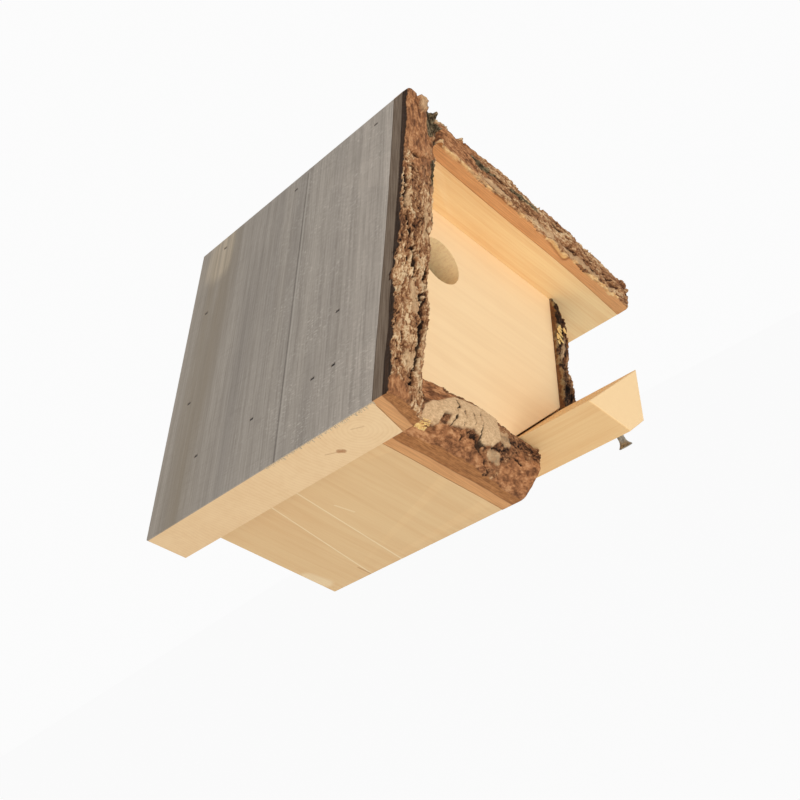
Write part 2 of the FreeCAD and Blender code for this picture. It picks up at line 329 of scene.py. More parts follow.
LEFT_SIDE_BARK = PLAIN_BARK | {
    "along": RIGHT_SLOPE,
    "outer_last": True,
    "seed": 19,
    "flake": (8, 5),
    "bare": (((54, 19), (12, 7)), ((74, 1), (36, 7)), ((126, 6), (15, 10))),
    "cover": (((105, 17), (6, 4)), ((102, 6.5), (6, 2.4))),
    "calm": (((112, 11), (24, 15), 0.6), ((84, 6), (34, 9), 0.45)),
    "plates": (LEFT_SIDE_PLATE,),
    "fissures": (
        (((67.6, 20), (67, 9)), 0.6),
        (((73, 16.6), (75.4, 9.4)), 0.6),
        (((84, 21), (84.6, 14), (86.2, 9.7)), 0.6),
        (((79.7, 18), (80.6, 11)), 0.6),
        (((74.7, 8.6), (76, 6.4)), 0.8),
        (((88, 8.4), (92, 5.9), (97.3, 3.9), (105, 0.9)), 0.6),
        (((79, 9.6), (90.7, 7.4), (99, 9), (111, 11.5), (119, 11.7), (124, 10.5)), 0.5),
    ),
    "fissure_depth": 1.5,
    "rounds": (1.4, 1.2, 0.3, 0.8),
    "crumble": 0.3,
    "bast": (7.6, 7.6),
    "bast_sway": 0.5,
    "tone_shift": 0.03,
    "hollow_shade_crest_highlight": 0.22,
    "speckle": 0.9,
}
RIGHT_SIDE_BARK = PLAIN_BARK | {
    "along": LEFT_SLOPE,
    "outer_last": True,
    "seed": 29,
    "flake": (8, 4),
    "cover": (((60, 14), (10, 3)),),
    "fissures": ((((34, 12), (70, 15), (118, 13)), 1.4),),
    "fissure_depth": 2.4,
    "lifts": (((92, 5), (18, 14), 2.8), ((54, 7), (13, 13), 2)),
    "rounds": (2, 1.5, 0.3, 1),
    "crumble": 0.4,
    "bast": (0, 0),
    "bast_sway": 0.6,
    "fringe": 0.8,
    # This strip's lower tone and its darkening towards the inner rim are painted shade
    "tone_shift": -0.28,
    "hollow_shade_crest_highlight": 0.4,
    "painted_shade": 0.6,
}
STRIPS = {
    "roof_bark_left": LEFT_ROOF_BARK,
    "roof_bark_right": RIGHT_ROOF_BARK,
    "side_bark_left": LEFT_SIDE_BARK,
    "side_bark_right": RIGHT_SIDE_BARK,
}

# Noise on the bark: height, size along and across in millimetres, seed and layers
LUMPS = {
    "ground": (0.16, 7, 3, 0, 3),
    "flake_along": (2.4, 5, 3, 5, 4),
    "flake_across": (1.3, 4.5, 2.5, 7, 4),
    "zone_rim": (0.3, 4, 3, 3, 4),
    "plate_rim": (0.35, 2.2, 2.2, 4, 3),
    "swell": (0.9, 24, 14, 11, 2),
    "crust": (1, 3.2, 2, 13, 4),
    "streaks": (1, 6, 1.5, 15, 4),
    "cracks": (1, 24, 4.4, 60, 3),
    "cracked": (1, 15, 9, 61, 2),
    "warp_along": (1.6, 5, 3, 8, 4),
    "warp_across": (1.1, 4, 3, 10, 4),
    "fissure_width": (1.1, 6, 4, 9, 4),
    "drift": (0.2, 28, 9, 17, 2),
    "rim_wobble": (0.6, 7, 7, 21, 2),
    "crumble": (1, 3, 2, 23, 3),
    "bast_edge": (1, 26, 8, 25, 3),
    "fringe": (1, 9, 3, 27, 4),
}

# Flakes of bark from the lowest layer up: size against the strip's flake, share of places and thickness
FLAKE_LAYERS = ((1.7, 0.8, 0.8), (1.2, 0.62, 0.7), (0.85, 0.5, 0.6), (0.55, 0.42, 0.5))
FLAKE_SEED_STEP = 31
FLAKE_MEAN = 1.3
FLAKE_LEAST = 0.7
FLAKE_MORE = 0.6
FLAKE_TILT = 1.6
FLAKE_EDGE = (0.02, 0.07)
FLAKE_RIM_HIGHLIGHT = (0.26, 0.08)
GROUND_TONE = 0.32
FLAKE_TONE = 0.24
PALEST_FLAKES = 0.9
PALEST_TONE = 0.12

# Relief of the bark in millimetres, its tone, and spans of its noise
ZONE_RIM = (1.12, 0.88)
PLATE_RIM = (-0.25, 0.35)
PLATE_THICKNESS = 1.1
BARE_CALM = 0.85
CALM_TONE = 0.4
CALM_SHARE = 0.6
CRUST = 0.5
CRUST_LOSS = 0.3
BARE_LOSS = 0.6
STREAK_HEIGHT = 0.3
STREAK_TONE = 0.15
CRACK_WIDTH = (0.075, 0.02)
CRACKED_SHARE = (-0.1, 0.25)
CRACK_DEPTH = 0.9
UNCRACKED_END = (2, 8)
FISSURE_LEAST = 0.4
FISSURE_FLOOR = 0.3
COVER_ON_DARK = 0.55
COVER_ON_PALE = 0.45
COVER_TONE = (0.2, 0.5)
CREST_CELLS = 3
# How strongly crests are lightened, as a share of the darkening in hollows: a painted highlight
CREST_HIGHLIGHT_GAIN = 0.6
FRINGE_SHARE = (-0.2, 0.2)

# Depths below the bark's front and distances from its rims, in millimetres, where an effect ends and is full
CRUMBLE_BELOW = (5, 0.5)
CRUMBLE_RIM = (4, 0)
MOSS_BELOW = (3.5, 0.8)
FRINGE_BELOW = (1.8, 0.4)
FRINGE_RIM = (2.4, 0.6)
# Painted shade: where the darkening towards the inner rim ends and where it is full
PAINTED_SHADE_RIM = (15, 4)

# Torn chips: the strip they lie on, middle and half size of their area, count, size, twist and seed
CHIPS = {
    "left_side_chips": ("side_bark_left", (52, 194), (3.4, 1.6), 46, (1.3, 0.8, 0.5), 0.9, 41),
    "right_side_chips": ("side_bark_right", (56, 175.2), (6.5, 2.6), 34, (3.4, 1.3, 0.5), 0.5, 43),
}
CHIP_SINK = 0.3
CHIP_LEAST = 0.6
CHIP_MORE = 0.8
CHIP_LIFT = 0.9
SPLINTER_OUTLINE = ((0, -0.3), (0.35, -0.5), (0.8, -0.3), (1, 0.05), (0.7, 0.45), (0.25, 0.5), (0, 0.3))

# Saw fibres at the lower edge of the left roof board, in millimetres
FIBRE_SPAN = (100, 178)
FIBRE_COUNT = 110
FIBRE_SEED = 47
FIBRE_LEAN = 0.35
FIBRE_ROOT = (-0.1, 0.35)
FIBRE_LEAST = 0.7
FIBRE_MORE = 2.2
FIBRE_WIDTH = 0.5
FIBRE_THICKNESS = 0.15
FIBRE_LIFT = 0.12

# Noise drawn out along an axis: cycles per millimetre along and across it, and any detail and roughness
RING_SWAY_NOISE = (0.005, 0.025)
FIBRE_NOISE = (0.05, 2.4, 4, 0.6)
STREAK_NOISE = (0.006, 0.22, 4, 0.6)
SAW_NOISE = (1.3, 0.05)
BROAD_NOISE = (0.002, 0.045)
SCRATCH_NOISE = (0.3, 1.3, 4, 0.7)
TEAR_NOISE = (0.35, 0.6, 4, 0.7)
LAYER_NOISE = (1.5, 0.04, 5, 0.65)

# Even noise: cycles per millimetre, and any detail and roughness
CLOUD_NOISE = (0.016,)
BALD_NOISE = (0.05, 3)
BLOTCH_NOISE = (0.7, 4, 0.6)
STEEL_NOISE = (4,)
FINE_NOISE = (1.3, 4, 0.65)
GRIT_NOISE = (0.6, 4, 0.7)
SOFT_NOISE = (0.28, 4, 0.6)
RUST_NOISE = (0.13, 3, 0.6)
CRUMB_NOISE = (3.2, 3, 0.6)
TORN_NOISE = (1.6, 3, 0.6)

# Spans of a noise or a facing, some with what they turn into
MIDDLE = (0.35, 0.65)
BROAD_MIDDLE = (0.35, 0.7)
MOST = (0.2, 0.8)
LATE_RISE = (0.3, 0.88)
LATE_FALL = (1, 0.9)
FIBRE_DARK = (0.3, 0.75, -0.02, 0.22)
STREAK_DARK = (0.36, 0.7, -0.04, 0.34)
CLOUD_DARK = (0.3, 0.7, 0, 0.22)
END_FIGURE = (0, 1, 1, 0.35)
END_RINGS = (0, 1, 0.11, 0.14)
MARK_WEAR = (0.3, 0.6)
# Darker tears on the hole's wall: partly their own colour, partly painted shade of the torn relief
TEAR_DARK_AND_SHADE = (0.42, 0.68, 0, 0.4)
SCRATCH = (0.51, 0.68)
BALD = (0.4, 0.62, 0.2, 1)
BROWN_BROAD = (0.4, 0.6, 0.15, 0.7)
TAN_STREAK = (0.35, 0.65, 0.7, 0.2)
CORK_GRIT = (0.3, 0.7, -0.1, 0.1)
SPECKLE_GRIT = (0.36, 0.64, -0.2, 0.14)
SPECKLE_FINE = (0.34, 0.66, -0.24, 0.18)
MOTTLE_SOFT = (0.28, 0.72)
MOTTLE_GRIT = (0.32, 0.68, -0.36, 0.36)
RUST_COARSE = (0.52, 0.66, 0, 0.4)
ASH_FINE = (0.3, 0.7)
COVER_SOFT = (0.3, 0.6, 0.95, 0.6)
MOSS_GRIT = (0.4, 0.64)

# Wood and bark: rings, bands and depths in millimetres, and shares of effects
RING_WIDTH = 2.2
RING_SWAY = 14
END_FACING = (0.6, 0.9)
END_SHARE = 0.55
MARK_LEAST = 0.5
LINE_CORE = 0.4
SAW_RELIEF = 0.3
RING_RELIEF = 0.25
TEAR_RELIEF = 6
BORE_REACH = (0.4, 0.1)
WEATHER_DEPTH = (1.5, 0.9)
WEATHER_SWAY = 0.9
CORK_EDGE = (-0.4, 0.4)
SEAM_EDGE = (0.7, 0.1)
CORK_SOFT = 0.6
CORK_BASE = -0.18
CORK_LINES = 0.75
STRIP_STRETCH = 0.45
RIM_HIGHLIGHT_TONE = 0.1
PLATE_SHARE = 0.95

# Finish of a material: roughness from and to, depth of the fine relief in millimetres, and its strength
WOOD_FINISH = ((0.6, 0.8), 0.15, 0.5)
STEEL_FINISH = ((0.32, 0.55), 0.04, 0.5)
BARK_FINISH = ((0.78, 0.95), 0.4, 0.8)
TORN_FINISH = ((0.65, 0.9), 0.2, 0.6)
DULL_SPECULAR = 0.2
STEEL_SPECULAR = 0.5
STEEL_METALLIC = 0.85

# Numbers of the colour sockets on a mix node
MIX_FIRST = 6
MIX_SECOND = 7
MIX_RESULT = 2

# Repeatable noise on a plane: steps of the hash and of the seeds, and how far cells shift
HASH_COLUMN = 127.1
HASH_ROW = 311.7
HASH_SEED = 74.7
HASH_SCALE = 43758.5453
LAYER_SEED_STEP = 17
CELL_INSET = 0.1
CELL_PLAY = 0.8


def hashed(column, row, seed):
    mixed = np.sin(column * HASH_COLUMN + row * HASH_ROW + seed * HASH_SEED) * HASH_SCALE
    return mixed - np.floor(mixed)


def ease(low, high, value):
    share = np.clip((value - low) / (high - low), 0, 1)
    return share * share * (3 - 2 * share)


def smooth_noise(x, y, seed):
    column = np.floor(x)
    row = np.floor(y)
    u = ease(0, 1, x - column)
    v = ease(0, 1, y - row)
    near = hashed(column, row, seed) * (1 - u) + hashed(column + 1, row, seed) * u
    far = hashed(column, row + 1, seed) * (1 - u) + hashed(column + 1, row + 1, seed) * u
    return (near * (1 - v) + far * v) * 2 - 1


def layered_noise(x, y, seed, layers):
    total = np.zeros(x.shape)
    for layer in range(layers):
        zoom = 2 ** layer
        total += smooth_noise(x * zoom, y * zoom, seed + layer * LAYER_SEED_STEP) / zoom
    return total


def lumps(name, s, t, seed):
    height, long, wide, key, layers = LUMPS[name]
    return height * layered_noise(s / long, t / wide, seed + key, layers)


# Cells of random size: distance to the border, the cell's own number and the offset from its middle
def cells(x, y, seed):
    column = np.floor(x)
    row = np.floor(y)
    first = np.full_like(x, np.inf)
    second = np.full_like(x, np.inf)
    own = np.zeros_like(x)
    along = np.zeros_like(x)
    for step in (-1, 0, 1):
        for rise in (-1, 0, 1):
            i = column + step
            j = row + rise
            middle_x = i + CELL_INSET + CELL_PLAY * hashed(i, j, seed)
            middle_y = j + CELL_INSET + CELL_PLAY * hashed(i, j, seed + 1)
            distance = np.hypot(middle_x - x, middle_y - y)
            nearer = distance < first
            second = np.where(nearer, first, np.minimum(second, distance))
            own = np.where(nearer, hashed(i, j, seed + 2), own)
            along = np.where(nearer, x - middle_x, along)
            first = np.where(nearer, distance, first)
    return second - first, own, along


# Overlapping flakes of bark: height, the tone of the topmost flake, and a painted highlight along its rim
def flakes(s, t, seed, size):
    height = np.zeros_like(s)
    tone = GROUND_TONE + lumps("ground", s, t, seed)
    rim = np.zeros_like(s)
    for layer, (zoom, share, thickness) in enumerate(FLAKE_LAYERS):
        key = seed + FLAKE_SEED_STEP * layer
        sway_s = s + lumps("flake_along", s, t, key)
        sway_t = t + lumps("flake_across", s, t, key)
        border, own, along = cells(sway_s / size[0] / zoom, sway_t / size[1] / zoom, key)
        lies = (own < share) * ease(*FLAKE_EDGE, border)
        cell_tone = own / share
        tilt = FLAKE_TILT * along * (cell_tone - 0.5)
        height += lies * thickness * (FLAKE_LEAST + FLAKE_MORE * cell_tone + tilt)
        palest = PALEST_TONE * (cell_tone > PALEST_FLAKES)
        tone += lies * (GROUND_TONE + FLAKE_TONE * cell_tone + palest - tone)
        rim += lies * (ease(*FLAKE_RIM_HIGHLIGHT, border) - rim)
    return height - FLAKE_MEAN, tone, rim


# Distance from points on a strip to a line of straight pieces
def line_distance(x, y, corners):
    nearest = np.full_like(x, np.inf)
    for (x0, y0), (x1, y1) in zip(corners, corners[1:]):
        run = x1 - x0
        rise = y1 - y0
        share = np.clip(((x - x0) * run + (y - y0) * rise) / (run * run + rise * rise), 0, 1)
        nearest = np.minimum(nearest, np.hypot(x - x0 - share * run, y - y0 - share * rise))
    return nearest


# How deep points lie inside a closed outline, below zero outside it
def depth_inside(x, y, corners):
    closed = list(corners) + [corners[0]]
    inside = np.zeros(x.shape, bool)
    for (x0, y0), (x1, y1) in zip(closed, closed[1:]):
        crosses = (y0 > y) != (y1 > y)
        rise = y1 - y0 if y1 != y0 else 1
        inside ^= crosses & (x < x0 + (y - y0) * (x1 - x0) / rise)
    return np.where(inside, 1, -1) * line_distance(x, y, closed)


# A zone on a strip, with a ragged rim
def patch(s, t, middle, half, ragged):
    distance = np.hypot((s - middle[0]) / half[0], (t - middle[1]) / half[1])
    return ease(*ZONE_RIM, distance + ragged)


# The mean of a grid's neighbourhood
def blurred(field, reach):
    for axis in (0, 1):
        pad = [(reach + 1, reach) if axis == side else (0, 0) for side in (0, 1)]
        total = np.cumsum(np.pad(field, pad, mode="edge"), axis=axis)
        ahead = np.take(total, range(2 * reach + 1, total.shape[axis]), axis=axis)
        behind = np.take(total, range(0, total.shape[axis] - 2 * reach - 1), axis=axis)
        field = (ahead - behind) / (2 * reach + 1)
    return field


def new_object(name, data):
    made = bpy.data.objects.new(name, data)
    bpy.context.scene.collection.objects.link(made)
    return made


# The boundary of a lattice block as a closed mesh
def block_mesh(name, places, values):
    count = np.array(places.shape[:3])
    shell = np.ones(count, bool)
    shell[1:-1, 1:-1, 1:-1] = False
    number = np.full(count, -1)
    number[shell] = np.arange(shell.sum())
    faces = []
    for axis in range(3):
        for end in (0, -1):
            sheet = np.take(number, end, axis=axis)
            quads = np.stack([sheet[:-1, :-1], sheet[1:, :-1], sheet[1:, 1:], sheet[:-1, 1:]], axis=-1)
            turned = (axis == 1) == (end == -1)
            faces.append(quads.reshape(-1, 4)[:, :: 1 if turned else -1])
    mesh = bpy.data.meshes.new(name)
    mesh.from_pydata(places[shell].tolist(), [], np.concatenate(faces).tolist())
    for key, value in values.items():
        attribute = mesh.attributes.new(key, "FLOAT", "POINT")
        attribute.data.foreach_set("value", np.broadcast_to(value, count)[shell].astype(np.float32))
    mesh.shade_smooth()
    return mesh


# Where a bark solid begins and ends in depth, column by column
def strip_columns(node, along_axis, across_axis, outer_last):
    points = slope_points(node)
    polygons = [polygon.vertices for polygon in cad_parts[node].data.polygons]
    tree = BVHTree.FromPolygons(points.tolist(), polygons)
    low = points.min(axis=0)
    high = points.max(axis=0)
    along = np.linspace(low[along_axis], high[along_axis], int((high - low)[along_axis] / BARK_CELL))
    across = np.linspace(low[across_axis], high[across_axis], int((high - low)[across_axis] / BARK_CELL))
    if outer_last:
        across = across[::-1]
    low += RAY_INSET
    high -= RAY_INSET
    foot = np.zeros((len(along), len(across)))
    front = foot.copy()
    start = np.zeros(3)
    for i, place in enumerate(np.clip(along, low[along_axis], high[along_axis])):
        start[along_axis] = place
        for j, side in enumerate(np.clip(across, low[across_axis], high[across_axis])):
            start[across_axis] = side
            start[DEPTH] = 0
            foot[i, j] = tree.ray_cast(start.tolist(), (0, 1, 0))[0].y
            start[DEPTH] = RAY_START
            front[i, j] = tree.ray_cast(start.tolist(), (0, -1, 0))[0].y
    return along, across, foot, front


# How far each place on a strip belongs to the zones of its style
def bark_zones(s, t, style, ragged):
    zones = {}
    for zone in ("bare", "cover", "moss"):
        zones[zone] = np.zeros_like(s)
        for middle, half in style[zone]:
            zones[zone] = np.maximum(zones[zone], patch(s, t, middle, half, ragged))
    zones["plate"] = np.zeros_like(s)
    for corners in style["plates"]:
        inside = depth_inside(s, t, corners) + lumps("plate_rim", s, t, style["seed"])
        zones["plate"] = np.maximum(zones["plate"], ease(*PLATE_RIM, inside))
    return zones


# Fine cracks where the bark is rough, and the fissures of the style
def bark_grooves(s, t, style, rough):
    seed = style["seed"]
    crack = np.abs(lumps("cracks", s, t, seed))
    cracked = ease(*CRACKED_SHARE, lumps("cracked", s, t, seed))
    cracked *= ease(*UNCRACKED_END, s - s.min()) * ease(*UNCRACKED_END, s.max() - s)
    groove = CRACK_DEPTH * ease(*CRACK_WIDTH, crack) * cracked * rough
    warped_s = s + lumps("warp_along", s, t, seed)
    warped_t = t + lumps("warp_across", s, t, seed)
    for corners, wide in style["fissures"]:
        ragged_width = wide * np.maximum(1 + lumps("fissure_width", s, t, seed), FISSURE_LEAST)
        from_line = line_distance(warped_s, warped_t, corners)
        groove = np.maximum(groove, ease(ragged_width, FISSURE_FLOOR * ragged_width, from_line))
    return groove


# Relief and colour zones of a strip's grown face
def bark_relief(s, t, style):
    seed = style["seed"]
    ragged = lumps("zone_rim", s, t, seed)
    height, tone, rim = flakes(s, t, seed, style["flake"])
    zones = bark_zones(s, t, style, ragged)
    calm = np.maximum(BARE_CALM * zones["bare"], zones["plate"])
    for middle, half, share in style["calm"]:
        calm = np.maximum(calm, share * patch(s, t, middle, half, ragged))
    rough = 1 - calm
    height *= rough
    tone += CALM_SHARE * calm * (CALM_TONE - tone)
    height += lumps("swell", s, t, seed)
    smoothed = np.maximum(zones["plate"], BARE_LOSS * zones["bare"])
    height += (CRUST - CRUST_LOSS * smoothed) * lumps("crust", s, t, seed)
    height += PLATE_THICKNESS * zones["plate"]
    streaks = lumps("streaks", s, t, seed)
    height += STREAK_HEIGHT * rough * streaks
    zones["groove"] = bark_grooves(s, t, style, rough)
    height -= style["fissure_depth"] * zones["groove"]
    for middle, half, lift in style["lifts"]:
        height += lift * patch(s, t, middle, half, ragged)
    zones["cover"] *= COVER_ON_DARK + COVER_ON_PALE * ease(*COVER_TONE, tone)
    zones["tone"] = tone + STREAK_TONE * streaks + lumps("drift", s, t, seed) + style["tone_shift"]
    # Painted highlight along the flake rims, only where the bark is rough
    zones["rim"] = rim * rough
    return height, zones


# How far a rounded rim falls back, from the distance to the rim
def rim_fall(distance, radius):
    share = np.clip(1 - distance / radius, 0, 1)
    return radius * (1 - np.sqrt(1 - share * share))


# Bark grown on a board's live edge, in place of the CAD solid, and the places on its front
def bark_strip(node, style, material):
    seed = style["seed"]
    along_axis = style["along"]
    across_axis = other_slope(along_axis)
    along, across, foot, front = strip_columns(node, along_axis, across_axis, style["outer_last"])
    s, t = np.meshgrid(along, np.abs(across - across[0]), indexing="ij")
    to_inner = t.max() - t
    height, zones = bark_relief(s, t, style)
    # Painted shade in the hollows and painted highlight on the crests: the tone falls where the relief lies
    # below its local mean and rises where it lies above
    crest = height - blurred(blurred(height, CREST_CELLS), CREST_CELLS)
    zones["tone"] = zones["tone"] + style["hollow_shade_crest_highlight"] * np.where(crest > 0, CREST_HIGHLIGHT_GAIN * crest, crest)
    wobble = 1 + lumps("rim_wobble", s, t, seed)
    outer, inner, start, end = style["rounds"]
    height -= rim_fall(t, outer * wobble) + rim_fall(to_inner, inner * wobble)
    height -= rim_fall(s - along[0], start) + rim_fall(along[-1] - s, end)
    levels = max(int((front - foot).max() / BARK_LEVEL), FEWEST_LEVELS)
    share = np.linspace(0, 1, levels)
    reach = np.maximum(front - foot + height, THINNEST_BARK)
    from_wood = reach[..., None] * share
    to_front = reach[..., None] * (1 - share)
    places = np.zeros(s.shape + (levels, 3))
    places[..., along_axis] = s[..., None]
    places[..., across_axis] = np.broadcast_to(across, s.shape)[..., None]
    places[..., DEPTH] = foot[..., None] + from_wood
    crumbled = lumps("crumble", np.broadcast_to(s[..., None], to_front.shape), to_front, seed)
    crumbled *= ease(*CRUMBLE_BELOW, to_front)
    inward = np.sign(across[-1] - across[0]) * style["crumble"] * np.abs(crumbled)
    near_rims = ease(*CRUMBLE_RIM, t) - ease(*CRUMBLE_RIM, to_inner)
    places[..., across_axis] += inward * near_rims[..., None]
    weather = np.zeros(s.shape)
    weather[:, 0], weather[0] = style["weather"]
    bast = np.interp(s, along[[0, -1]], style["bast"]) + style["bast_sway"] * lumps("bast_edge", s, t, seed)
    fringe = ease(*FRINGE_BELOW, to_front) * ease(*FRINGE_RIM, to_inner)[..., None]
    fringe *= ease(*FRINGE_SHARE, lumps("fringe", s, t, seed))[..., None]
    values = {name: zone[..., None] for name, zone in zones.items()}
    values["moss"] = values["moss"] * ease(*MOSS_BELOW, to_front)
    values["front"] = np.eye(levels)[-1]
    values["along"] = s[..., None]
    values["across"] = t[..., None]
    values["from_wood"] = from_wood
    values["past_bast"] = from_wood - bast[..., None]
    values["fringe"] = style["fringe"] * fringe
    values["weather"] = weather[..., None]
    # Painted shade towards the inner rim
    values["painted_shade"] = style["painted_shade"] * ease(*PAINTED_SHADE_RIM, to_inner)[..., None]
    values["speckle"] = style["speckle"]
    flat = from_slope(places.reshape(-1, 3)).reshape(places.shape)
    mesh = block_mesh(node + "_grown", flat, values)
    mesh.materials.append(material)
    piece = new_object(node + "_grown", mesh)
    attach(piece, HOUSE)
    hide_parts(node)
    return places[:, :, -1]


def set_inputs(node, **values):
    for name, value in values.items():
        node.inputs[name].default_value = value


# A material's nodes, added one at a time
class Shading:
    def __init__(self, name, specular=DULL_SPECULAR):
        self.material = bpy.data.materials.new(name)
        self.material.use_nodes = True
        self.tree = self.material.node_tree
        self.shader = self.tree.nodes["Principled BSDF"]
        self.shader.inputs["Specular IOR Level"].default_value = specular

    def feed(self, socket, value):
        if isinstance(value, bpy.types.NodeSocket):
            self.tree.links.new(value, socket)
        else:
            socket.default_value = value

    def node(self, kind, **settings):
        node = self.tree.nodes.new("ShaderNode" + kind)
        for key, value in settings.items():
            setattr(node, key, value)
        return node

    def sums(self, operation, first, second=0, third=0):
        node = self.node("Math", operation=operation)
        for socket, value in zip(node.inputs, (first, second, third)):
            self.feed(socket, value)
        return node.outputs[0]

    def times(self, first, second):
        return self.sums("MULTIPLY", first, second)

    def plus(self, base, value, share=1):
        return self.sums("MULTIPLY_ADD", value, share, base)

    def vector(self, operation, first, second=(0, 0, 0)):
        node = self.node("VectorMath", operation=operation)
        self.feed(node.inputs[0], first)
        self.feed(node.inputs[1], second)
        return node.outputs["Value" if operation in ("LENGTH", "DOT_PRODUCT") else "Vector"]

    def noise(self, place, scale, detail=2, roughness=0.5):
        node = self.node("TexNoise")
        self.feed(node.inputs["Vector"], place)
        set_inputs(node, Scale=scale, Detail=detail, Roughness=roughness)
        return node.outputs["Fac"]

    def drawn_noise(self, place, axis, along, across, *layers):
        stretched = self.vector("MULTIPLY", place, by_axis(axis, along, across))
        return self.noise(stretched, 1, *layers)

    def span(self, value, low, high, to_low=0, to_high=1):
        node = self.node("MapRange", interpolation_type="SMOOTHSTEP")
        for socket, number in zip(node.inputs, (value, low, high, to_low, to_high)):
            self.feed(socket, number)
        return node.outputs[0]

    def mix(self, share, first, second):
        node = self.node("Mix", data_type="RGBA", clamp_factor=True)
        self.feed(node.inputs[0], share)
        self.feed(node.inputs[MIX_FIRST], first)
        self.feed(node.inputs[MIX_SECOND], second)
        return node.outputs[MIX_RESULT]

    # Lays a tint over another one by a mask and a share, or by the span of a value
    def lay(self, under, mask, share, tint):
        return self.mix(self.times(mask, share), under, tint)

    def tinge(self, under, value, span, tint):
        return self.mix(self.span(value, *span), under, tint)

    def ramp(self, share, stops):
        node = self.node("ValToRGB")
        self.feed(node.inputs[0], share)
        elements = node.color_ramp.elements
        while len(elements) < len(stops):
            elements.new(0.5)
        for element, (position, tint) in zip(elements, stops):
            element.position = position
            element.color = tint
        return node.outputs[0]

    def value(self, name):
        return self.node("Attribute", attribute_name=name).outputs["Fac"]

    # One for places on a line along a face square to an axis, falling to nought at its half width
    def line(self, place, axis, level, start, end, half_width):
        ends = np.full((2, 3), level)
        ends[:, [DEPTH, other_slope(axis)]] = start, end
        start = Vector(ends[0])
        run = Vector(ends[1]) - start
        from_start = self.vector("SUBTRACT", place, start)
        share = self.vector("DOT_PRODUCT", from_start, run / run.length_squared)
        share = self.sums("MINIMUM", self.sums("MAXIMUM", share, 0), 1)
        foot = self.node("VectorMath", operation="SCALE")
        foot.inputs[0].default_value = run
        self.feed(foot.inputs["Scale"], share)
        distance = self.vector("LENGTH", self.vector("SUBTRACT", from_start, foot.outputs["Vector"]))
        return self.span(distance, half_width, LINE_CORE * half_width)

    # One where the wood is seen across its fibres, zero along them
    def end_on(self, grain):
        direction = from_slope(np.eye(3)[grain][None])[0] - from_slope(np.zeros((1, 3)))[0]
        normal = self.node("TexCoord").outputs["Normal"]
        facing = self.vector("DOT_PRODUCT", normal, Vector(direction).normalized())
        return self.span(self.sums("ABSOLUTE", facing), *END_FACING)

    # Slope coordinates in millimetres, the same ones as in the mesh code
    def slope(self):
        place = self.node("TexCoord").outputs["Object"]
        node = self.node("Mapping")
        self.feed(node.inputs["Vector"], place)
        ridge = RIDGE_HEIGHT / ROOT2 / MM
        turn = (0, math.radians(45), 0)
        set_inputs(node, Location=(ridge, 0, ridge), Rotation=turn, Scale=[-1 / MM] * 3)
        return node.outputs[0]

    # Sets the tint, the roughness by a noise, and the fine relief
    def finish(self, tint, grain, relief, look):
        roughness, depth, strength = look
        bump = self.node("Bump")
        set_inputs(bump, Distance=depth * MM, Strength=strength)
        self.feed(bump.inputs["Height"], relief)
        self.feed(self.shader.inputs["Normal"], bump.outputs[0])
        self.feed(self.shader.inputs["Base Color"], tint)
        self.feed(self.shader.inputs["Roughness"], self.span(grain, *MOST, *roughness))
        return self.material


def by_axis(axis, along, across):
    factors = [across, across, across]
    factors[axis] = along
    return tuple(factors)


# Late wood of the growth rings about a pith line
def late_wood(mat, place, grain, pith):
    from_pith = mat.vector("SUBTRACT", place, pith)
    section = mat.vector("MULTIPLY", from_pith, by_axis(grain, 0, 1))
    sway = mat.drawn_noise(place, grain, *RING_SWAY_NOISE)
    radius = mat.plus(mat.vector("LENGTH", section), sway, RING_SWAY)
    ring = mat.sums("FRACT", mat.times(radius, 1 / RING_WIDTH))
    return mat.times(mat.span(ring, *LATE_RISE), mat.span(ring, *LATE_FALL))


# Torn fibres on the wall of a bored hole: where they are and how high
def torn_bore(mat, place, middle, radius):
    from_middle = mat.vector("SUBTRACT", place, middle)
    from_axis = mat.vector("MULTIPLY", from_middle, by_axis(DEPTH, 0, 1))
    outer, inner = BORE_REACH
    inside = mat.span(mat.vector("LENGTH", from_axis), radius + outer, radius + inner)
    return inside, mat.drawn_noise(place, DEPTH, *TEAR_NOISE)


# Silver-grey weather on one face of a board, over the fresh wood
def weathered(mat, place, fresh, face_axis, fibre, streak, late, saw):
    along = other_slope(face_axis)
    parts = mat.node("SeparateXYZ")
    mat.feed(parts.inputs[0], place)
    depth = parts.outputs[DEPTH]
    below = mat.plus(parts.outputs[face_axis], fibre, WEATHER_SWAY)
    broad = mat.drawn_noise(place, along, *BROAD_NOISE)
    grey = mat.mix(mat.span(broad, *MIDDLE), *SILVER)
    grey = mat.tinge(grey, depth, *BLEACHED)
    grey = mat.tinge(grey, streak, *GREY_STREAK)
    grey = mat.tinge(grey, fibre, *GREY_FIBRE)
    scratch = mat.span(mat.drawn_noise(place, DEPTH, *SCRATCH_NOISE), *SCRATCH)
    scratch = mat.times(scratch, mat.span(depth, *SCRATCHED_SPAN))
    bald = mat.span(mat.noise(place, *BALD_NOISE), *BALD)
    grey = mat.lay(grey, scratch, bald, SCRATCHED)
    grey = mat.tinge(grey, saw, *SAW_MARK)
    grey = mat.lay(grey, late, *GREY_RING)
    grey = mat.lay(grey, mat.span(depth, *BROWN_SPAN), mat.span(broad, *BROWN_BROAD), REAR_BROWN)
    tan = mat.line(place, face_axis, 0.0, *TAN_PATCH)
    tan = mat.times(mat.times(tan, tan), mat.span(depth, *TAN_SPAN))
    grey = mat.lay(grey, tan, mat.span(streak, *TAN_STREAK), REAR_TAN)
    for tint, share, *line in WEATHER_LINES:
        grey = mat.lay(grey, mat.line(place, face_axis, 0.0, *line), share, tint)
    return mat.mix(mat.span(below, *WEATHER_DEPTH), fresh, grey)


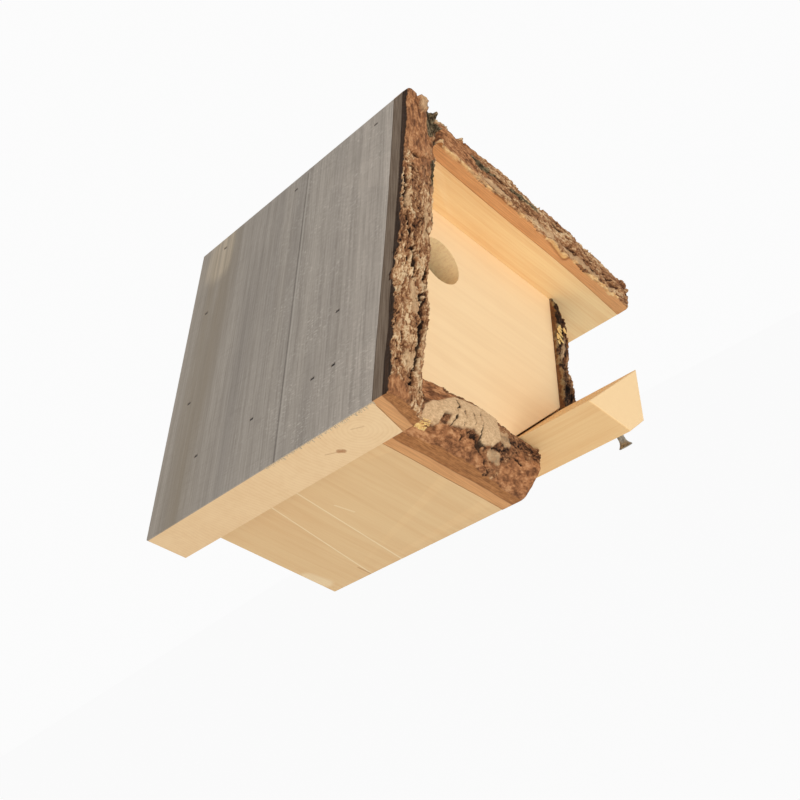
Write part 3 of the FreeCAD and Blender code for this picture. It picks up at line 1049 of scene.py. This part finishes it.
# Sawn softwood: faint growth rings about a pith line, fibres along the grain, and saw marks across it
def wood_material(name, grain, pith, tints, marks=(), weathered_face=None, figure=1, bore=None, ends=None):
    pale, dark = tints
    mat = Shading(name)
    place = mat.slope()
    fibre = mat.drawn_noise(place, grain, *FIBRE_NOISE)
    streak = mat.drawn_noise(place, grain, *STREAK_NOISE)
    saw = mat.drawn_noise(place, grain, *SAW_NOISE)
    cloud = mat.noise(place, *CLOUD_NOISE)
    late = late_wood(mat, place, grain, pith)
    end_on = mat.end_on(grain)
    tone = mat.sums("ADD", mat.span(fibre, *FIBRE_DARK), mat.span(streak, *STREAK_DARK))
    tone = mat.times(tone, mat.span(end_on, *END_FIGURE))
    tone = mat.plus(tone, late, mat.span(end_on, *END_RINGS))
    tone = mat.sums("ADD", tone, mat.span(cloud, *CLOUD_DARK))
    tint = mat.mix(mat.times(tone, figure), pale, dark)
    if ends is not None:
        tint = mat.lay(tint, end_on, END_SHARE, ends)
    for mark_tint, share, *line in marks:
        worn = mat.span(fibre, *MARK_WEAR, MARK_LEAST * share, share)
        tint = mat.lay(tint, mat.line(place, LEFT_SLOPE, *line), worn, mark_tint)
    if weathered_face is not None:
        tint = weathered(mat, place, tint, weathered_face, fibre, streak, late, saw)
    relief = mat.plus(fibre, late, RING_RELIEF)
    relief = mat.plus(relief, saw, SAW_RELIEF)
    if bore is not None:
        inside, tears = torn_bore(mat, place, *bore)
        # The hole's wall is paler, partly torn wood and partly painted light, and darker in the tears, partly
        # their own colour and partly painted shade of the relief
        tint = mat.mix(inside, tint, TORN_AND_LIT)
        tint = mat.lay(tint, inside, mat.span(tears, *TEAR_DARK_AND_SHADE), dark)
        relief = mat.plus(relief, mat.times(inside, tears), TEAR_RELIEF)
    return mat.finish(tint, fibre, relief, WOOD_FINISH)


def steel_material(name, tints):
    mat = Shading(name, STEEL_SPECULAR)
    set_inputs(mat.shader, Metallic=STEEL_METALLIC)
    place = mat.slope()
    blotch = mat.noise(place, *BLOTCH_NOISE)
    tint = mat.mix(mat.span(blotch, *BROAD_MIDDLE), *tints)
    return mat.finish(tint, blotch, mat.noise(place, *STEEL_NOISE), STEEL_FINISH)


# Bands of bast and cork on the sawn faces of the bark
def sawn_bark(mat, place, from_wood, grit, soft):
    lines = mat.drawn_noise(place, DEPTH, *LAYER_NOISE)
    banded = mat.span(lines, *MIDDLE)
    past_bast = mat.value("past_bast")
    cork = mat.span(past_bast, *CORK_EDGE)
    seam = mat.span(mat.sums("ABSOLUTE", past_bast), *SEAM_EDGE)
    at_wood = mat.span(from_wood, *SEAM_EDGE)
    layers = mat.plus(mat.plus(CORK_BASE, lines, CORK_LINES), soft, CORK_SOFT)
    layers = mat.sums("ADD", layers, mat.span(grit, *CORK_GRIT))
    fresh = mat.mix(cork, mat.mix(banded, *BAST), mat.ramp(layers, CORK))
    fresh = mat.lay(fresh, seam, *SEAM)
    fresh = mat.lay(fresh, at_wood, *AT_WOOD)
    old = mat.mix(cork, mat.mix(banded, *OLD_BAST), mat.mix(banded, *OLD_CORK))
    old = mat.lay(old, at_wood, *OLD_AT_WOOD)
    sawn = mat.mix(mat.value("weather"), fresh, old)
    for mark_tint, share, *line in BAST_MARKS:
        sawn = mat.lay(sawn, mat.line(place, LEFT_SLOPE, *line), share, mark_tint)
    return sawn


# Flakes with a painted highlight on their rims, smooth bark, pale crust, and grooves painted dark as painted
# shade, on the grown front
def grown_bark(mat, place, fine, grit, soft):
    speckle = mat.sums("ADD", mat.span(grit, *SPECKLE_GRIT), mat.span(fine, *SPECKLE_FINE))
    tone = mat.plus(mat.value("tone"), speckle, mat.value("speckle"))
    # A painted highlight along the rims of the flakes
    tone = mat.plus(tone, mat.value("rim"), RIM_HIGHLIGHT_TONE)
    grown = mat.ramp(tone, FLAKE_TINTS)
    mottled = mat.sums("ADD", mat.span(soft, *MOTTLE_SOFT), mat.span(grit, *MOTTLE_GRIT))
    grown = mat.mix(mat.value("bare"), grown, mat.ramp(mottled, SMOOTH_TINTS))
    grown = mat.tinge(grown, mat.noise(place, *RUST_NOISE), RUST_COARSE, mat.mix(grit, *RUST))
    ash = mat.mix(mat.span(fine, *ASH_FINE), *ASH)
    ash = mat.tinge(ash, grit, *DUSTY_ASH)
    grown = mat.lay(grown, mat.value("cover"), mat.span(soft, *COVER_SOFT), ash)
    grown = mat.lay(grown, mat.value("plate"), PLATE_SHARE, ash)
    # Painted shade in the grooves and fissures
    return mat.tinge(grown, mat.value("groove"), *GROOVE_SHADE)


# Bark: sawn and grown faces, with moss, torn fibres and painted shade over both
def bark_material():
    mat = Shading("bark")
    place = mat.slope()
    from_wood = mat.value("from_wood")
    strip = mat.node("CombineXYZ")
    mat.feed(strip.inputs[0], mat.times(mat.value("along"), STRIP_STRETCH))
    mat.feed(strip.inputs[1], mat.value("across"))
    mat.feed(strip.inputs[2], from_wood)
    fine = mat.noise(strip.outputs[0], *FINE_NOISE)
    grit = mat.noise(strip.outputs[0], *GRIT_NOISE)
    soft = mat.noise(strip.outputs[0], *SOFT_NOISE)
    sawn = sawn_bark(mat, place, from_wood, grit, soft)
    grown = grown_bark(mat, place, fine, grit, soft)
    tint = mat.mix(mat.value("front"), sawn, grown)
    tint = mat.mix(mat.value("moss"), tint, mat.mix(mat.span(grit, *MOSS_GRIT), *MOSS))
    tint = mat.mix(mat.value("fringe"), tint, mat.mix(mat.span(grit, *MIDDLE), *FRINGE))
    # Painted shade towards a strip's inner rim
    tint = mat.mix(mat.value("painted_shade"), tint, PAINTED_SHADE_TINT)
    relief = mat.plus(mat.noise(place, *CRUMB_NOISE), fine)
    return mat.finish(tint, fine, relief, BARK_FINISH)


# Torn wood fibres
def torn_material(name, tints):
    mat = Shading(name)
    fibre = mat.noise(mat.slope(), *TORN_NOISE)
    tint = mat.mix(mat.span(fibre, *MIDDLE), *tints)
    return mat.finish(tint, fibre, fibre, TORN_FINISH)


# Give a CAD node its finish, and where asked its edges a little wear
def dress(node, material, worn=False):
    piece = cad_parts[node]
    for slot in piece.material_slots:
        slot.link = "OBJECT"
        slot.material = material
    if worn:
        weld = piece.modifiers.new("weld", "WELD")
        weld.merge_threshold = WELD_REACH * MM
        bevel = piece.modifiers.new("worn", "BEVEL")
        bevel.width = EDGE_WEAR * MM
        bevel.segments = EDGE_SEGMENTS
        bevel.limit_method = "ANGLE"
        bevel.angle_limit = SHARP_EDGE
        bevel.use_clamp_overlap = False


# A thin torn splinter: a pointed outline with some thickness, bent away from what it sits on
def add_splinter(points, faces, root, along, aside, out, size, lift):
    length, width, thickness = size
    first = len(points)
    for side in (0, 1):
        for share, offset in SPLINTER_OUTLINE:
            bend = lift * share * share
            points.append(
                root + along * (length * share) + aside * (width * offset) + out * (bend + thickness * side)
            )
    count = len(SPLINTER_OUTLINE)
    faces.append([first + index for index in reversed(range(count))])
    faces.append([first + count + index for index in range(count)])
    for index in range(count):
        after = (index + 1) % count
        faces.append([first + index, first + after, first + count + after, first + count + index])


def splinter_piece(name, points, faces, material):
    mesh = bpy.data.meshes.new(name)
    mesh.from_pydata(from_slope(np.array(points)).tolist(), [], faces)
    mesh.materials.append(material)
    piece = new_object(name, mesh)
    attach(piece, HOUSE)


# Splinters of fresh wood left on the bark of a side board
def torn_chips(name, skin, along_axis, middle, half, count, size, twist, seed, material):
    points = []
    faces = []
    length, width, thickness = size
    across_axis = other_slope(along_axis)
    out = np.eye(3)[DEPTH]
    for index in range(count):
        spin = 2 * hashed(index, 1, seed) - 1
        along = middle[0] + half[0] * (2 * hashed(index, 2, seed) - 1)
        across = middle[1] + half[1] * (2 * hashed(index, 3, seed) - 1)
        gap = np.hypot(skin[..., along_axis] - along, skin[..., across_axis] - across)
        root = skin[np.unravel_index(gap.argmin(), gap.shape)] - CHIP_SINK * out
        run = np.zeros(3)
        run[along_axis] = math.cos(twist * spin)
        run[across_axis] = math.sin(twist * spin)
        grow = CHIP_LEAST + CHIP_MORE * hashed(index, 4, seed)
        grown = (length * grow, width * grow, thickness)
        add_splinter(points, faces, root, run, np.cross(out, run), out, grown, CHIP_LIFT * grow)
    splinter_piece(name, points, faces, material)


# Fibres that the saw left hanging at the lower edge of the left roof board
def saw_fibres(name, material):
    points = []
    faces = []
    first, last = FIBRE_SPAN
    down = np.eye(3)[RIGHT_SLOPE]
    out = np.eye(3)[LEFT_SLOPE]
    for index in range(FIBRE_COUNT):
        share = (index + hashed(index, 5, FIBRE_SEED)) / FIBRE_COUNT
        lean = FIBRE_LEAN * (2 * hashed(index, 6, FIBRE_SEED) - 1)
        along = down + np.array((0, lean, 0))
        root = np.array((LEFT_ROOF_END + FIBRE_ROOT[0], first + (last - first) * share, FIBRE_ROOT[1]))
        length = FIBRE_LEAST + FIBRE_MORE * hashed(index, 7, FIBRE_SEED) ** 2
        size = (length, FIBRE_WIDTH, FIBRE_THICKNESS)
        add_splinter(points, faces, root, along, np.cross(out, along), out, size, FIBRE_LIFT)
    splinter_piece(name, points, faces, material)


# What lights the object, and what the camera and mirrors see instead
def mix_by_ray(tree, lighting, seen, output):
    path = tree.nodes.new("ShaderNodeLightPath")
    either = tree.nodes.new("ShaderNodeMath")
    either.operation = "MAXIMUM"
    tree.links.new(path.outputs["Is Camera Ray"], either.inputs[0])
    tree.links.new(path.outputs["Is Glossy Ray"], either.inputs[1])
    mix = tree.nodes.new("ShaderNodeMixShader")
    tree.links.new(either.outputs[0], mix.inputs[0])
    tree.links.new(lighting.outputs[0], mix.inputs[1])
    tree.links.new(seen.outputs[0], mix.inputs[2])
    tree.links.new(mix.outputs[0], tree.nodes[output].inputs["Surface"])


def pale_floor():
    mesh = bpy.data.meshes.new("floor")
    reach = FLOOR_HALF
    corners = [(-reach, -reach, 0), (reach, -reach, 0), (reach, reach, 0), (-reach, reach, 0)]
    mesh.from_pydata(corners, [], [(0, 1, 2, 3)])
    floor = new_object("floor", mesh)
    floor.location.z = FLOOR_HEIGHT
    mat = Shading("pale_floor", 0)
    set_inputs(mat.shader, **{"Base Color": FLOOR_COLOUR, "Roughness": FLOOR_ROUGHNESS})
    glow = mat.node("Emission")
    set_inputs(glow, Strength=FLOOR_GLOW)
    veil = mat.node("BsdfDiffuse")
    set_inputs(veil, Color=FLOOR_VEIL)
    seen = mat.node("AddShader")
    mat.feed(seen.inputs[0], glow.outputs[0])
    mat.feed(seen.inputs[1], veil.outputs[0])
    mix_by_ray(mat.tree, mat.shader, seen, "Material Output")
    mesh.materials.append(mat.material)


def white_world():
    world = bpy.data.worlds.new("studio")
    bpy.context.scene.world = world
    world.use_nodes = True
    tree = world.node_tree
    light = tree.nodes["Background"]
    set_inputs(light, Color=WHITE, Strength=WORLD_LIGHT)
    seen = tree.nodes.new("ShaderNodeBackground")
    set_inputs(seen, Color=WHITE, Strength=BACKGROUND)
    mix_by_ray(tree, light, seen, "World Output")


def key_light():
    data = bpy.data.lights.new("key", "AREA")
    data.size = KEY_SIZE
    data.energy = KEY_POWER
    lamp = new_object("key", data)
    lamp.location = KEY_PLACE
    lamp.rotation_euler = (KEY_AIM - KEY_PLACE).to_track_quat("-Z", "Y").to_euler()
    lamp.visible_camera = False
    lamp.visible_glossy = False


def photo_camera():
    data = bpy.data.cameras.new("camera")
    data.sensor_width = CAMERA_SENSOR
    data.lens = CAMERA_LENS
    data.shift_y = CAMERA_SHIFT
    camera = new_object("camera", data)
    turn = CAMERA_LOOK.to_track_quat("-Z", "Y").to_matrix() @ Matrix.Rotation(CAMERA_ROLL, 3, "Z")
    camera.matrix_world = Matrix.Translation(CAMERA_PLACE) @ turn.to_4x4()
    bpy.context.scene.camera = camera


# Wood of each board: material, run of the grain, pith line, pale and dark tints, and what else shows on it
WOODS = {
    "roof_board_left": (
        ("roof_left_wood", LEFT_SLOPE, (0, 158, 11), (PALE, HONEY)),
        {"marks": LEFT_ROOF_MARKS, "weathered_face": RIGHT_SLOPE},
    ),
    # Its pale tint is lighter, partly painted light on the board's shaded underside
    "roof_board_right": (
        ("roof_right_wood", RIGHT_SLOPE, (40, 73, 0), (WARM_AND_LIT, AMBER)),
        {"weathered_face": LEFT_SLOPE, "figure": 0.7},
    ),
    "side_board_left": (
        ("side_left_wood", RIGHT_SLOPE, (111, 67, 0), (SAND, HONEY)),
        {"marks": LEFT_SIDE_MARKS, "figure": 0.75},
    ),
    "side_board_right": (("side_right_wood", LEFT_SLOPE, (0, 67, 111), (SAND, HONEY)), {}),
    "front_wall": (
        ("front_wood", RIGHT_SLOPE, (100, -30, 0), (CREAM, HONEY)),
        {"figure": 0.3, "bore": (FLIGHT_HOLE_MIDDLE, FLIGHT_HOLE_RADIUS)},
    ),
    "back_wall": (("back_wood", LEFT_SLOPE, (0, 60, 90), (PALE, HONEY)), {}),
    "floor_slide": (
        ("floor_wood", DEPTH, (190, 0, 120), (GOLD, AMBER)),
        {"figure": 0.7, "ends": CREAM},
    ),
}
for node, (look, extras) in WOODS.items():
    dress(node, wood_material(*look, **extras), worn=node != "floor_slide")
dress("pull_screw", steel_material("dull_zinc", ZINC))
dark_steel = steel_material("dark_steel", DARK_STEEL)
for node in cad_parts:
    if "_nail" in node:
        dress(node, dark_steel)

# Bark, chips and fibres
bark = bark_material()
skins = {node: bark_strip(node, style, bark) for node, style in STRIPS.items()}
torn_wood = torn_material("torn_wood", TORN_WOOD)
for name, (strip, *chips) in CHIPS.items():
    torn_chips(name, skins[strip], STRIPS[strip]["along"], *chips, torn_wood)
saw_fibres("left_roof_fibres", torn_material("grey_fibre", HANGING_FIBRE))

# Stage, light and camera
pale_floor()
white_world()
key_light()
photo_camera()
bpy.context.scene.view_settings.view_transform = "Standard"
